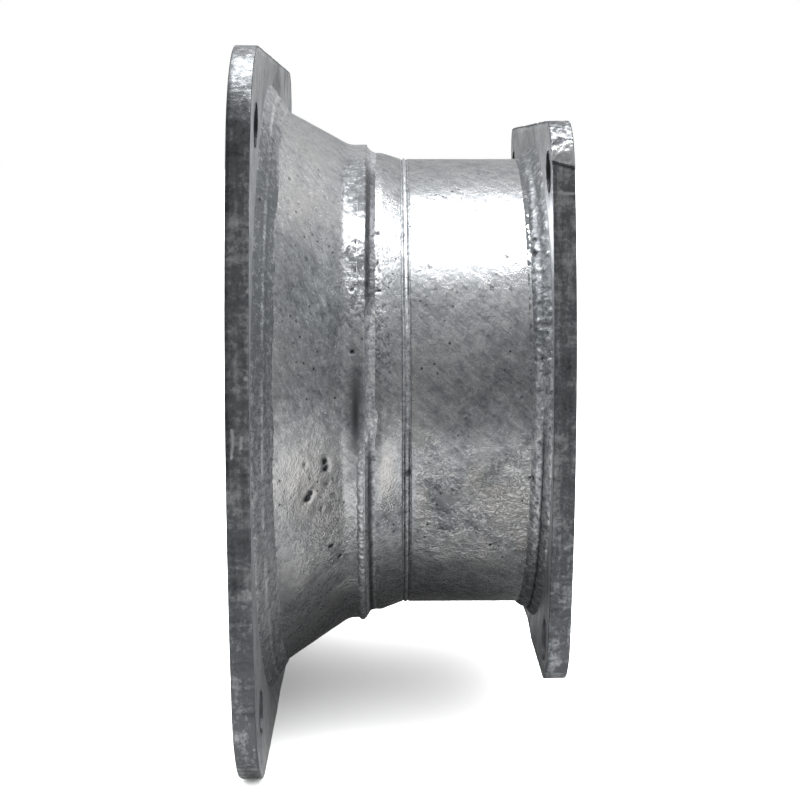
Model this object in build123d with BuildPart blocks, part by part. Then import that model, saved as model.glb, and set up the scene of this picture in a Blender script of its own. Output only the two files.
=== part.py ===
from build123d import *
from math import atan2, cos, tan
import os

# Eccentric reducer, DN250 to DN200, welded from steel plate and pipe, with square plate flanges.
# Millimetres. X runs along the pipe from the large end at x = 0 to the small end, and Z is up.
# The origin is the centre of the large opening, on the outer face of the large flange.
# The wall runs straight along the +Y side, so all of the offset is on the -Y side.

os.makedirs("parts", exist_ok=True)

# Pipe sizes
large_od = 273.0
small_od = 219.1
wall = 4.0

# Square flanges
plate = 10.0
large_side = 310.0
small_side = 248.0
large_corner = 38.0
small_corner = 20.0
large_pitch_circle = 350.0
small_pitch_circle = 295.0
bolt_hole = 18.0
flame_cut_edge = 0.8

# The plates' outlines sit a little above the centres of their bores and bolt holes
large_lift = 1.6
small_lift = 2.5

# Lengths along X
total_length = 147.0
setback = 3.0
cone_end_x = 47.0
collar_end_x = 56.5
spigot_start_x = 48.0
spigot_end_x = 62.5
short_cone_end_x = 72.1
pipe_start_x = 75.5

# The large cone narrows to a collar, and the collar laps over the spigot of the short cone
collar_od = 233.0

# Fillet welds on the backs of the flanges. The large one lies on the cone, and its face bulges
# most at a share of its leg and runs on past its toe inside the cone's wall
large_leg = 7.5
bulge_share = 0.4
toe_share = 1.2
small_leg = 8.0
small_rise = 7.0
weld_crown = 0.8

# Seal welds in the bores of the flanges, with hollow faces
seal_margin = 0.3
seal_hollow = 0.2

# Seam weld along the large cone
seam_gap = 0.4
seam_width = 9.0
seam_height = 1.6

# Lap weld at the end of the collar, below a thin rest of the collar's end face
lap_crown = 1.9
collar_lip = 0.2

# Butt weld at the neck of the pipe
neck_groove = 0.7
neck_slope = 0.6
neck_ridge = 0.3
neck_ridge_width = 1.2
neck_ridge_crown = 0.2

# Radii, and the heights of the three axes along Y
large_r = large_od / 2
small_r = small_od / 2
collar_r = collar_od / 2
spigot_r = collar_r - wall
collar_y = large_r - collar_r
pipe_y = large_r - wall - small_r
small_plate_x = total_length - plate
pipe_end_x = total_length - setback


def disc(x, centre_y, radius):
    """Round section of radius at x, centred on centre_y."""
    with BuildSketch(Plane.YZ.offset(x)) as section:
        with Locations((centre_y, 0)):
            Circle(radius)
    return section.sketch


def cylinder(x_from, x_to, centre_y, radius, mode=Mode.ADD):
    extrude(disc(x_from, centre_y, radius), amount=x_to - x_from, dir=(1, 0, 0), mode=mode)


def oblique_cone(stations, mode=Mode.ADD):
    """Straight-sided cone through (x, centre_y, radius) stations that don't share an axis."""
    loft([disc(*station) for station in stations], ruled=True, mode=mode)


def on_large_cone(x, proud):
    """Station of the large cone at x, with a radius larger by proud."""
    part_way = (x - plate) / (cone_end_x - plate)
    return (x, collar_y * part_way, large_r + (collar_r - large_r) * part_way + proud)


def wall_shift(run, narrowing):
    """How far back along X the inner cone starts, for a full wall on the steep side."""
    steep = atan2(2 * narrowing, run)
    return wall * (1 / cos(steep) - 1) / tan(steep)


def square_flange(x, centre_y, side, corner, bore, pitch_circle, lift=0):
    """Square plate with round corners, a pipe bore and a bolt hole near each corner.
    The outline sits lift above the centre of the bore and holes."""
    spacing = pitch_circle / 2**0.5
    with BuildSketch(Plane.YZ.offset(x)) as outline:
        with Locations((centre_y, lift)):
            RectangleRounded(side, side, corner)
        with Locations((centre_y, 0)):
            Circle(bore, mode=Mode.SUBTRACT)
            with GridLocations(spacing, spacing, 2, 2):
                Circle(bolt_hole / 2, mode=Mode.SUBTRACT)
    plate_solid = extrude(outline.sketch, amount=plate, dir=(1, 0, 0))
    for face in plate_solid.faces().filter_by(Axis.X):
        chamfer(face.outer_wire().edges(), flame_cut_edge)


def bead_outline(toe, root, top, crown):
    """Outline of a filled corner from root to top and toe, whose face bulges by crown."""
    middle = Vector((top[0] + toe[0]) / 2, (top[1] + toe[1]) / 2)
    bulge = middle + (middle - Vector(*root)).normalized() * crown
    with BuildLine() as outline:
        Polyline(toe, root, top)
        ThreePointArc(top, bulge, toe)
    return outline.line.edges()


def axis_at(centre_y):
    return Axis((0, centre_y, 0), (1, 0, 0))


# Large flange
with BuildPart() as large_flange:
    square_flange(0, 0, large_side, large_corner, large_r, large_pitch_circle, large_lift)

# Small flange
with BuildPart() as small_flange:
    square_flange(
        small_plate_x,
        pipe_y,
        small_side,
        small_corner,
        small_r,
        small_pitch_circle,
        small_lift,
    )

# Outer form of the large cone: lip in the flange, oblique cone, collar
with BuildPart() as large_cone_form:
    cylinder(setback, plate, 0, large_r)
    oblique_cone([(plate, 0, large_r), (cone_end_x, collar_y, collar_r)])
    cylinder(cone_end_x, collar_end_x, collar_y, collar_r)

# Large cone, rolled from plate
large_shift = wall_shift(cone_end_x - plate, large_r - collar_r)
inner_cone_x = plate - large_shift
inner_collar_x = cone_end_x - large_shift
with BuildPart() as large_cone:
    add(large_cone_form.part)
    cylinder(setback, inner_cone_x, 0, large_r - wall, mode=Mode.SUBTRACT)
    oblique_cone(
        [(inner_cone_x, 0, large_r - wall), (inner_collar_x, collar_y, spigot_r)],
        mode=Mode.SUBTRACT,
    )
    cylinder(inner_collar_x, collar_end_x, collar_y, spigot_r, mode=Mode.SUBTRACT)

# Seam weld of the rolled cone, along its straight side, clear of the fillet weld's toe
seam_start_x = plate + large_leg + seam_gap
with BuildPart() as cone_seam_weld:
    with BuildSketch(Plane.YZ.offset(seam_start_x)) as seam_section:
        with Locations((large_r, 0)):
            Ellipse(seam_height, seam_width / 2)
    extrude(seam_section.sketch, amount=collar_end_x - seam_start_x, dir=(1, 0, 0))
    add(large_cone_form.part, mode=Mode.SUBTRACT)

# Fillet weld round the large cone, against the back of its flange
with BuildPart() as large_flange_back_weld:
    oblique_cone(
        [
            on_large_cone(plate, large_leg),
            on_large_cone(
                plate + bulge_share * large_leg, (1 - bulge_share) * large_leg + weld_crown
            ),
            on_large_cone(plate + toe_share * large_leg, (1 - toe_share) * large_leg),
        ]
    )
    add(large_cone_form.part, mode=Mode.SUBTRACT)

# Seal weld between the lip of the large cone and the bore of its flange
with BuildPart() as large_flange_face_weld:
    with BuildSketch(Plane.XY):
        make_face(
            bead_outline(
                (setback, large_r - wall + seal_margin),
                (setback, large_r),
                (seal_margin, large_r),
                -seal_hollow,
            )
        )
    revolve(axis=axis_at(0))

# Short cone: spigot inside the collar, then an oblique cone down to the pipe
short_shift = wall_shift(short_cone_end_x - spigot_end_x, spigot_r - small_r)
with BuildPart() as short_cone:
    cylinder(spigot_start_x, spigot_end_x, collar_y, spigot_r)
    oblique_cone([(spigot_end_x, collar_y, spigot_r), (short_cone_end_x, pipe_y, small_r)])
    inner_start_x = spigot_end_x - short_shift
    inner_end_x = short_cone_end_x - short_shift
    cylinder(spigot_start_x, inner_start_x, collar_y, spigot_r - wall, mode=Mode.SUBTRACT)
    oblique_cone(
        [(inner_start_x, collar_y, spigot_r - wall), (inner_end_x, pipe_y, small_r - wall)],
        mode=Mode.SUBTRACT,
    )
    cylinder(inner_end_x, short_cone_end_x, pipe_y, small_r - wall, mode=Mode.SUBTRACT)

# Lap weld from the end of the collar down to the spigot
with BuildPart() as lap_weld:
    with BuildSketch(Plane.XY):
        make_face(
            bead_outline(
                (spigot_end_x, collar_y + spigot_r),
                (collar_end_x, collar_y + spigot_r),
                (collar_end_x, collar_y + collar_r - collar_lip),
                lap_crown,
            )
        )
    revolve(axis=axis_at(collar_y))

# Narrow butt weld between the short cone and the pipe: a low ridge between two grooves
with BuildPart() as neck_weld:
    neck_mid_x = (short_cone_end_x + pipe_start_x) / 2
    outer_y = pipe_y + small_r
    ridge_start = (neck_mid_x - neck_ridge_width / 2, outer_y + neck_ridge)
    ridge_top = (neck_mid_x, outer_y + neck_ridge + neck_ridge_crown)
    ridge_end = (neck_mid_x + neck_ridge_width / 2, outer_y + neck_ridge)
    with BuildSketch(Plane.XY):
        with BuildLine():
            Polyline(
                ridge_start,
                (short_cone_end_x + neck_slope, outer_y - neck_groove),
                (short_cone_end_x, outer_y),
                (short_cone_end_x, outer_y - wall),
                (pipe_start_x, outer_y - wall),
                (pipe_start_x, outer_y),
                (pipe_start_x - neck_slope, outer_y - neck_groove),
                ridge_end,
            )
            ThreePointArc(ridge_start, ridge_top, ridge_end)
        make_face()
    revolve(axis=axis_at(pipe_y))

# Outlet pipe
with BuildPart() as outlet_pipe:
    cylinder(pipe_start_x, pipe_end_x, pipe_y, small_r)
    cylinder(pipe_start_x, pipe_end_x, pipe_y, small_r - wall, mode=Mode.SUBTRACT)

# Fillet weld round the pipe, against the back of the small flange
with BuildPart() as small_flange_back_weld:
    with BuildSketch(Plane.XY):
        make_face(
            bead_outline(
                (small_plate_x - small_leg, pipe_y + small_r),
                (small_plate_x, pipe_y + small_r),
                (small_plate_x, pipe_y + small_r + small_rise),
                weld_crown,
            )
        )
    revolve(axis=axis_at(pipe_y))

# Seal weld between the end of the pipe and the bore of the small flange
with BuildPart() as small_flange_face_weld:
    with BuildSketch(Plane.XY):
        make_face(
            bead_outline(
                (pipe_end_x, pipe_y + small_r - wall + seal_margin),
                (pipe_end_x, pipe_y + small_r),
                (total_length - seal_margin, pipe_y + small_r),
                -seal_hollow,
            )
        )
    revolve(axis=axis_at(pipe_y))

pieces = {
    "large_flange": large_flange,
    "large_flange_face_weld": large_flange_face_weld,
    "large_flange_back_weld": large_flange_back_weld,
    "large_cone": large_cone,
    "cone_seam_weld": cone_seam_weld,
    "lap_weld": lap_weld,
    "short_cone": short_cone,
    "neck_weld": neck_weld,
    "outlet_pipe": outlet_pipe,
    "small_flange_back_weld": small_flange_back_weld,
    "small_flange": small_flange,
    "small_flange_face_weld": small_flange_face_weld,
}
for name, piece in pieces.items():
    piece.part.label = name
    export_step(piece.part, f"parts/{name}.step")
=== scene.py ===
import itertools
import math
from typing import NamedTuple

import bpy
import numpy as np
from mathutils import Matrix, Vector, geometry


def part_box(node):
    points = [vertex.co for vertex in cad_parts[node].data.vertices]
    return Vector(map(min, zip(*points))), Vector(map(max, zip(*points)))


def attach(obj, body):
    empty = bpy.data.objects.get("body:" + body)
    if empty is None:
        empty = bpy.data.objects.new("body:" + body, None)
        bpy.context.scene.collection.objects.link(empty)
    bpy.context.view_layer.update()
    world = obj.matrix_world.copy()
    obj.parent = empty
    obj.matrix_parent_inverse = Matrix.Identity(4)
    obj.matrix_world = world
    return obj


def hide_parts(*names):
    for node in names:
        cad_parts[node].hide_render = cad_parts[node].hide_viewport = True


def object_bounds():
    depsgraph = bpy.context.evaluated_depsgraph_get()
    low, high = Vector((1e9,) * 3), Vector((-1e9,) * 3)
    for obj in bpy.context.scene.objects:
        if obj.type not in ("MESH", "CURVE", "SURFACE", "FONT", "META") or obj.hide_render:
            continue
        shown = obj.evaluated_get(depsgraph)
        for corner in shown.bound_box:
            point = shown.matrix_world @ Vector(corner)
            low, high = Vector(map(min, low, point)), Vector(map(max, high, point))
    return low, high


# Galvanised eccentric reducer: two square flanges, a rolled cone, a short cone, a pipe and their welds.
# Shapes are worked out in millimetres and turned into metres when a mesh is made.
# Round pieces are grids of points: a row for each station (x, centre_y, radius) of the section, and a
# column for each step round the ring. The turn is 0 at the near side (-Y), and grows towards the top.

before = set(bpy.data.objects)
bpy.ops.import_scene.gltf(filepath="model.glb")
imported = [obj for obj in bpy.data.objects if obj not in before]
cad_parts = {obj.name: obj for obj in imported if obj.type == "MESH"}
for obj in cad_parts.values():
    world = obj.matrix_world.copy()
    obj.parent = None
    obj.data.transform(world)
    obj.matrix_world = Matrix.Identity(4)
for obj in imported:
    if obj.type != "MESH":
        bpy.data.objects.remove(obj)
cad_low, cad_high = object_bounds()

METRE = 1000.0


def box_mm(node):
    """Lowest and highest corners of a CAD node, in millimetres."""
    low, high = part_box(node)
    return np.array(low) * METRE, np.array(high) * METRE


# Sizes read from the CAD frame
large_low, large_high = box_mm("large_flange")
small_low, small_high = box_mm("small_flange")
cone_low, cone_high = box_mm("large_cone")
spigot_low, spigot_high = box_mm("short_cone")
pipe_low, pipe_high = box_mm("outlet_pipe")
neck_low, neck_high = box_mm("neck_weld")
_, lap_high = box_mm("lap_weld")
seam_low, seam_high = box_mm("cone_seam_weld")

PLATE = large_high[0] - large_low[0]
LARGE_HALF = (large_high[2] - large_low[2]) / 2
LARGE_LIFT = (large_high[2] + large_low[2]) / 2
SMALL_HALF = (small_high[2] - small_low[2]) / 2
SMALL_LIFT = (small_high[2] + small_low[2]) / 2
SMALL_PLATE_X = small_low[0]
LARGE_R = cone_high[2]
SPIGOT_R = spigot_high[2]
SMALL_R = pipe_high[2]
PIPE_Y = (pipe_low[1] + pipe_high[1]) / 2
SETBACK = cone_low[0]

# Sizes that the boxes don't give
WALL = 4.0
LARGE_CORNER = 38.0
SMALL_CORNER = 20.0
LARGE_HOLE_SPACING = 350.0 / 2**0.5
SMALL_HOLE_SPACING = 295.0 / 2**0.5
HOLE_R = 9.0
COLLAR_LENGTH = 9.5
SEAM_HALF = 4.5
SEAM_HEIGHT = 1.6
SEAL_MARGIN = 0.3

COLLAR_R = SPIGOT_R + WALL
COLLAR_Y = LARGE_R - COLLAR_R
CONE_END_X = cone_high[0] - COLLAR_LENGTH
NECK_X = (neck_low[0] + neck_high[0]) / 2

# Mesh density
SHELL_STEP = 0.85
HIDDEN_STEP = 6.0
WELD_STEP = 0.6
SEAM_ROWS = 90
SEAM_COLUMNS = 28
RIM_STEP = 0.75
RIM_ROWS = 14
BORE_STEP = 2.0
HOLE_STEP = 1.0
FACE_STEP = 2.6


# ---------------- noise and masks


def dice(cells, seed):
    """A repeatable random number from 0 to 1 for each whole-number cell."""
    c = cells.astype(np.int64).astype(np.uint32)
    n = c[..., 0] * np.uint32(0x8DA6B343) ^ c[..., 1] * np.uint32(0xD8163841)
    n = n ^ c[..., 2] * np.uint32(0xCB1AB31F) ^ np.uint32(seed * 7919 + 101)
    n = (n ^ n >> np.uint32(15)) * np.uint32(0x2C1B3C6D)
    n = (n ^ n >> np.uint32(12)) * np.uint32(0x297A2D39)
    return (n ^ n >> np.uint32(15)) / 2.0**32


def noise(points, size, seed):
    """Smooth noise from -1 to 1 whose lumps are about size across."""
    scaled = points / size
    cells = np.floor(scaled)
    part = scaled - cells
    part = part * part * (3 - 2 * part)
    total = 0.0
    for corner in itertools.product((0, 1), repeat=3):
        share = np.prod(np.where(corner, part, 1 - part), axis=-1)
        total = total + share * dice(cells + corner, seed)
    return 2 * total - 1


def clouds(points, size, seed, octaves=3):
    """Noise with finer noise on top, each octave half the size and height of the last."""
    return sum(noise(points, size / 2**k, seed + k) / 2**k for k in range(octaves))


def smooth(value, low, high):
    """0 below low, 1 above high, and a smooth rise between."""
    t = np.clip((value - low) / (high - low), 0, 1)
    return t * t * (3 - 2 * t)


def peak(value, spread):
    """1 where value is 0, falling smoothly to nearly nothing at twice spread."""
    return np.exp(-((value / spread) ** 2))


def near(points, x, y, z, radius):
    """1 at a place, falling smoothly to nearly nothing at radius."""
    away = np.linalg.norm(points - np.array((x, y, z)), axis=-1)
    return np.exp(-((away / radius * 1.6) ** 2))


def wrinkles(points, size, seed):
    """Thin winding ridges, from 0 between them to 1 on their tops, about size apart."""
    bent = points + 0.5 * size * noise(points, 1.5 * size, seed + 3)[..., None]
    wide = peak(clouds(bent, size, seed, 2), 0.17)
    thin = peak(clouds(bent, 0.55 * size, seed + 9, 2), 0.2)
    return np.maximum(wide, 0.7 * thin)


def area(x, degrees, place):
    """1 in the middle of a soft patch at (x, degrees, half its length, half its spread, weight)."""
    at_x, at_degrees, length, spread, weight = place
    return weight * np.exp(-(((x - at_x) / length) ** 2) - ((degrees - at_degrees) / spread) ** 2)


def away_from(across, along, path):
    """Distance from a path of straight runs between given points."""
    best = np.full(np.broadcast(across, along).shape, 1e9)
    for (a, b), (c, d) in zip(path, path[1:]):
        run, rise = c - a, d - b
        part = np.clip(((across - a) * run + (along - b) * rise) / (run**2 + rise**2), 0, 1)
        best = np.minimum(best, np.hypot(across - a - part * run, along - b - part * rise))
    return best


# ---------------- round pieces


def on_cone(x, lift=0.0):
    """Station of the large cone at x, with its radius grown by lift."""
    part = (x - PLATE) / (CONE_END_X - PLATE)
    return (x, COLLAR_Y * part, LARGE_R + (COLLAR_R - LARGE_R) * part + lift)


def wall_shift(run, narrowing):
    """How far back along X the inner cone starts, for a full wall on the steep side."""
    steep = math.atan2(2 * narrowing, run)
    return WALL * (1 / math.cos(steep) - 1) / math.tan(steep)


def section(*corners):
    """Stations along straight runs between corners, each (station, step to the next corner)."""
    rows = []
    for (start, step), (end, _) in zip(corners, corners[1:] + corners[:1]):
        start, end = np.array(start, float), np.array(end, float)
        count = max(1, math.ceil(np.linalg.norm(end - start) / step))
        rows += [start + (end - start) * k / count for k in range(count)]
    return np.array(rows)


def soften(stations, low_x, high_x, rounds):
    """Rounds the outer fold between low_x and high_x as a bend in rolled plate."""
    found = np.flatnonzero((stations[:, 0] > low_x) & (stations[:, 0] < high_x))
    rows = np.split(found, np.flatnonzero(np.diff(found) > 1) + 1)[0]
    for _ in range(rounds):
        before, after = stations[rows - 1], stations[rows + 1]
        stations[rows] = (before + 2 * stations[rows] + after) / 4
    return stations


def ring(stations, step):
    """The grid of points round each station, and the turn of each column."""
    columns = 4 * round(math.pi * stations[:, 2].max() / step / 2)
    turn = np.linspace(0, 2 * math.pi, columns, endpoint=False)
    x, centre, radius = stations.T[..., None]
    grid = np.stack([x + 0 * turn, centre - radius * np.cos(turn), radius * np.sin(turn)], -1)
    return grid, turn


def outward(grid):
    """Unit vectors out of the grid's surface."""
    along = np.roll(grid, -1, 0) - np.roll(grid, 1, 0)
    around = np.roll(grid, -1, 1) - np.roll(grid, 1, 1)
    normal = np.cross(along, around)
    return normal / np.linalg.norm(normal, axis=-1, keepdims=True)


def signed(turn):
    """Turns in degrees from -180 to 180, so that below the near side is negative."""
    return (np.degrees(turn) + 180) % 360 - 180


def neck_drift(grid):
    """The neck weld wanders along X round the pipe, and its neighbours' ends go with it."""
    drift, reach = 0.4, 5.0
    height = grid[..., 2] / SMALL_R
    grid[..., 0] -= drift * height * peak(grid[..., 0] - NECK_X, reach)
    return grid


def make_mesh(name, points, faces, masks):
    """A smooth-shaded mesh object with a number at each point for each mask."""
    mesh = bpy.data.meshes.new(name)
    mesh.from_pydata((points / METRE).tolist(), [], faces)
    mesh.shade_smooth()
    for key, values in masks.items():
        vector = values.ndim > 1 and values.shape[-1] == 3
        layer = mesh.attributes.new(key, "FLOAT_VECTOR" if vector else "FLOAT", "POINT")
        flat = np.ascontiguousarray(values, np.float32).ravel()
        layer.data.foreach_set("vector" if vector else "value", flat)
    piece = bpy.data.objects.new(name, mesh)
    bpy.context.scene.collection.objects.link(piece)
    return piece


def grid_faces(rows, columns):
    """Four-sided faces of a grid that closes on itself both ways."""
    index = np.arange(rows * columns).reshape(rows, columns)
    up = np.roll(index, -1, 0)
    return np.stack([index, up, np.roll(up, -1, 1), np.roll(index, -1, 1)], -1).reshape(-1, 4)


def grid_piece(name, grid, masks):
    """A mesh object from a grid that closes on itself both ways."""
    rows, columns = grid.shape[:2]
    flat = {}
    for key, values in masks.items():
        spread = np.broadcast_to(values, (rows, columns) + values.shape[2:])
        flat[key] = spread.reshape((rows * columns,) + values.shape[2:])
    return make_mesh(name, grid.reshape(-1, 3), grid_faces(rows, columns).tolist(), flat)


def wind(grid):
    """Places wound round the axis and squeezed along it, so that noise there makes slanting streaks."""
    twist, squeeze = 0.010, 0.22
    turn = np.arctan2(grid[..., 2], -grid[..., 1]) + twist * grid[..., 0]
    radius = np.hypot(grid[..., 1], grid[..., 2])
    return np.stack([grid[..., 0] * squeeze, radius * np.cos(turn), radius * np.sin(turn)], -1)


def shell(name, node, stations, relief):
    """A rolled shell: relief(grid, degrees) is how far each outer point stands proud."""
    grid, turn = ring(stations, SHELL_STEP)
    degrees = signed(turn)[None, :]
    proud, masks = relief(grid, degrees)
    masks["wound"] = wind(grid) / METRE
    proud = proud + 0.03 * clouds(wind(grid), 3.0, 24)
    grid = neck_drift(grid + outward(grid) * proud[..., None])
    piece = grid_piece(name, grid, masks)
    dress(piece, node, "galvanised_shell")
    return piece


def dress(piece, node, slot):
    """Puts a piece in place of its CAD node."""
    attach(piece, "root")
    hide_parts(node)
    piece.data.materials.append(MATERIALS[slot])


def freckles(grid, seed):
    """1 at scattered dark freckles in the zinc, and 0 between them."""
    return smooth(noise(grid, 1.5, seed), 0.2, 0.6) * smooth(noise(grid, 6.0, seed + 1), -0.5, 0.1)


def spots(grid, places, radius, height):
    """Lumps or pits at listed (x, degrees, size) places on the outside of a round piece."""
    total = np.zeros(grid.shape[:2])
    turn = np.arctan2(grid[..., 2], -(grid[..., 1] - PIPE_Y))
    ragged = 0.6 * noise(grid, 1.2, 19)
    for x, degrees, size in places:
        arc = (turn - math.radians(degrees) + math.pi) % (2 * math.pi) - math.pi
        away = np.abs(np.hypot(grid[..., 0] - x, arc * SMALL_R) + ragged)
        total += height * size * peak(away, radius * size)
    return total


# ---------------- shells

# Pits in the zinc: (x, degrees, size)
CONE_PITS = [
    (38.5, -8.5, 1.2), (38.9, -10.0, 1.1), (39.3, -13.5, 0.7), (31.0, -14.8, 1.2), (32.6, -13.9, 1.1),
    (40.5, -28.5, 1.1), (44.0, -33.0, 0.9), (41.0, -34.0, 0.8), (50.0, 13.0, 1.0), (50.0, 26.5, 0.9),
    (37.0, -18.0, 0.6), (30.0, -8.0, 0.6), (28.0, 8.0, 0.5), (51.0, 31.0, 1.0), (51.5, 38.0, 1.0),
]
PIPE_PITS = [
    (98.0, 46.0, 0.7), (128.4, -16.0, 0.9), (99.7, -1.6, 0.6), (111.8, -36.1, 0.9), (89.0, 3.0, 0.5),
    (130.1, 38.7, 0.8), (119.0, 37.0, 0.8), (84.0, 34.0, 0.7), (101.0, 34.0, 0.5), (90.5, 41.0, 0.5),
]

SPIGOT_PITS = [(60.8, 34.0, 1.0), (61.0, 42.0, 0.9), (60.6, 27.0, 0.9), (63.0, 23.0, 0.8)]

# Patches of lighter or darker zinc: (x, degrees, half length, half spread, weight)
CONE_PALE = [(31.0, -12.0, 13.0, 9.0, 1.3), (42.0, -24.0, 9.0, 8.0, 0.6), (26.0, 45.0, 7.0, 8.0, 0.5),
             (24.0, -33.0, 10.0, 8.0, 0.8), (30.0, 68.0, 22.0, 14.0, 0.4), (44.0, -45.0, 10.0, 7.0, 0.5)]
CONE_DARK = [(24.0, 27.0, 9.0, 11.0, -0.8), (44.0, -31.0, 6.0, 5.0, -0.9), (36.0, -13.0, 4.0, 4.0, -0.8),
             (30.0, 5.0, 14.0, 8.0, -0.35), (27.0, -21.0, 4.0, 4.0, -0.5), (44.0, 22.0, 7.0, 7.0, -0.6)]
CONE_STRIPE = (51.4, 0.0, 1.9, 8.0, 1.0)
SPIGOT_CRUMPLE = (65.0, -24.0, 4.0, 6.0, 1.0)
SPIGOT_PATCHES = [(65.0, -15.0, 4.0, 7.0, 1.4), (62.0, -26.0, 3.0, 4.0, -0.8), (66.0, 8.0, 6.0, 12.0, -0.3)]
PIPE_PATCHES = [(100.0, -38.0, 26.0, 5.0, 0.5), (104.0, 2.0, 28.0, 9.0, -0.5), (96.0, 14.0, 12.0, 5.0, 0.3),
                (112.0, -14.0, 10.0, 3.0, -0.8), (90.0, -26.0, 7.0, 6.0, -0.7), (84.0, -16.0, 5.0, 5.0, -0.5)]


def outside_only(outer, proud, masks):
    """Keeps the relief and the marks off the inside of a shell."""
    return np.where(outer, proud, 0), {key: np.where(outer, values, 0) for key, values in masks.items()}


def collar_zone(grid, degrees):
    """1 on the gritty upper part of the collar, which starts raggedly on the cone."""
    ragged = grid[..., 0] + 1.6 * noise(grid, 2.6, 18)
    along = smooth(ragged, CONE_END_X - 4, CONE_END_X + 3)
    return along * smooth(degrees, 14, 34) * smooth(-degrees, -74, -62)


def large_cone_relief(grid, degrees):
    x = grid[..., 0]
    _, centre, radius = on_cone(np.clip(x, PLATE, CONE_END_X))
    outer = (np.hypot(grid[..., 1] - centre, grid[..., 2]) > radius - WALL / 2) & (x > PLATE)
    broad = clouds(grid, 30.0, 11)
    patch = smooth(-degrees, 10, 20) * smooth(degrees, -52, -40) * smooth(x, 20, 32)
    patch = patch * smooth(clouds(grid, 14.0, 12), -0.3, 0.4)
    folds = wrinkles(grid * np.array((0.7, 1, 1)), 5.0, 14)
    collar = collar_zone(grid, degrees)
    grit = clouds(grid, 1.9, 15, 2)
    waves = 0.22 * noise(grid, 34.0, 16) + 0.07 * clouds(grid, 9.0, 13)
    lumps = 0.25 * patch * folds + 0.16 * collar * grit
    pits = spots(grid, CONE_PITS, 1.0, -0.7)
    # Painted highlight: the collar's zinc is lighter in a band about 43 degrees up, where the lamp's
    # highlight falls.
    painted_highlight = peak(degrees + 4 * noise(grid, 3.0, 20) - 43, 4.5)
    stripe = area(x, degrees, CONE_STRIPE)
    tone = sum(area(x, degrees, place) for place in CONE_PALE + CONE_DARK)
    # On the collar the grit is real, and the rest of its tone is painted: lighter in the highlight band and
    # darker elsewhere as painted shade, most of all above 44 degrees.
    tone = tone + 0.45 * broad + patch * (0.6 * folds - 0.1) + collar * (1.8 * grit + 1.2 * painted_highlight - 1.2)
    tone = tone - 1.4 * collar * smooth(degrees, 44.0, 52.0)
    warm = np.clip(sum(area(x, degrees, place) for place in CONE_PALE[:3]), 0, 1)
    # dull also darkens the collar's colour outside the highlight band as painted shade, besides making it
    # rougher.
    dull = collar * (1 - 0.85 * painted_highlight) * (0.9 - 0.4 * grit)
    pit = 0.36 * stripe - pits + 0.5 * collar * freckles(grid, 17)
    masks = {"tone": tone - 2 * stripe, "warm": warm, "pit": pit, "dull": dull, "crumple": 0.8 * patch}
    return outside_only(outer, waves + lumps + pits, masks)


def make_large_cone():
    shift = wall_shift(CONE_END_X - PLATE, LARGE_R - COLLAR_R)
    end_x = cone_high[0]
    stations = section(
        ((SETBACK, 0, LARGE_R), HIDDEN_STEP),
        ((PLATE, 0, LARGE_R), SHELL_STEP),
        ((CONE_END_X, COLLAR_Y, COLLAR_R), SHELL_STEP),
        ((end_x - 1.2, COLLAR_Y, COLLAR_R), WALL),
        ((end_x, COLLAR_Y, SPIGOT_R), HIDDEN_STEP),
        ((CONE_END_X - shift, COLLAR_Y, SPIGOT_R), HIDDEN_STEP),
        ((PLATE - shift, 0, LARGE_R - WALL), HIDDEN_STEP),
        ((SETBACK, 0, LARGE_R - WALL), WALL),
    )
    stations = soften(stations, CONE_END_X - 6, end_x - 2, 10)
    return shell("large_cone_shell", "large_cone", stations, large_cone_relief)


def short_cone_relief(grid, degrees):
    x = grid[..., 0]
    part = np.clip((x - lap_high[0]) / (spigot_high[0] - lap_high[0]), 0, 1)
    radius = SPIGOT_R + (SMALL_R - SPIGOT_R) * part
    centre = COLLAR_Y + (PIPE_Y - COLLAR_Y) * part
    outer = np.hypot(grid[..., 1] - centre, grid[..., 2]) > radius - WALL / 2
    grit = clouds(grid, 2.0, 33, 2)
    gritty = smooth(degrees, 4, 14) * smooth(-degrees, -50, -38) * smooth(x, 71, 60)
    pits = spots(grid, SPIGOT_PITS, 1.1, -0.6)
    proud = 0.06 * clouds(grid, 9.0, 32) + 0.08 * gritty * grit + pits
    tone = sum(area(x, degrees, place) for place in SPIGOT_PATCHES)
    tone = tone + 0.35 * clouds(grid, 16.0, 31) + 0.3 * gritty * grit
    warm = np.clip(area(x, degrees, SPIGOT_PATCHES[0]), 0, 1)
    masks = {
        "tone": tone,
        "warm": warm,
        "pit": 0.45 * gritty * freckles(grid, 35) - pits,
        # dull also darkens the colour in the upper band across the lamp's highlight, where the grit is low,
        # as painted shade, besides making it rougher
        "dull": 0.45 * gritty * (1 - grit),
        "crumple": 0.7 * area(x, degrees, SPIGOT_CRUMPLE),
    }
    return outside_only(outer, proud, masks)


def make_short_cone():
    low_x, end_x, lap_x = spigot_low[0], spigot_high[0], lap_high[0]
    shift = wall_shift(end_x - lap_x, SPIGOT_R - SMALL_R)
    stations = section(
        ((low_x, COLLAR_Y, SPIGOT_R), HIDDEN_STEP),
        ((lap_x - 2, COLLAR_Y, SPIGOT_R), SHELL_STEP / 2),
        ((lap_x, COLLAR_Y, SPIGOT_R), SHELL_STEP),
        ((end_x, PIPE_Y, SMALL_R), WALL),
        ((end_x, PIPE_Y, SMALL_R - WALL), HIDDEN_STEP),
        ((end_x - shift, PIPE_Y, SMALL_R - WALL), HIDDEN_STEP),
        ((lap_x - shift, COLLAR_Y, SPIGOT_R - WALL), HIDDEN_STEP),
        ((low_x, COLLAR_Y, SPIGOT_R - WALL), WALL),
    )
    return shell("short_cone_shell", "short_cone", stations, short_cone_relief)


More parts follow.
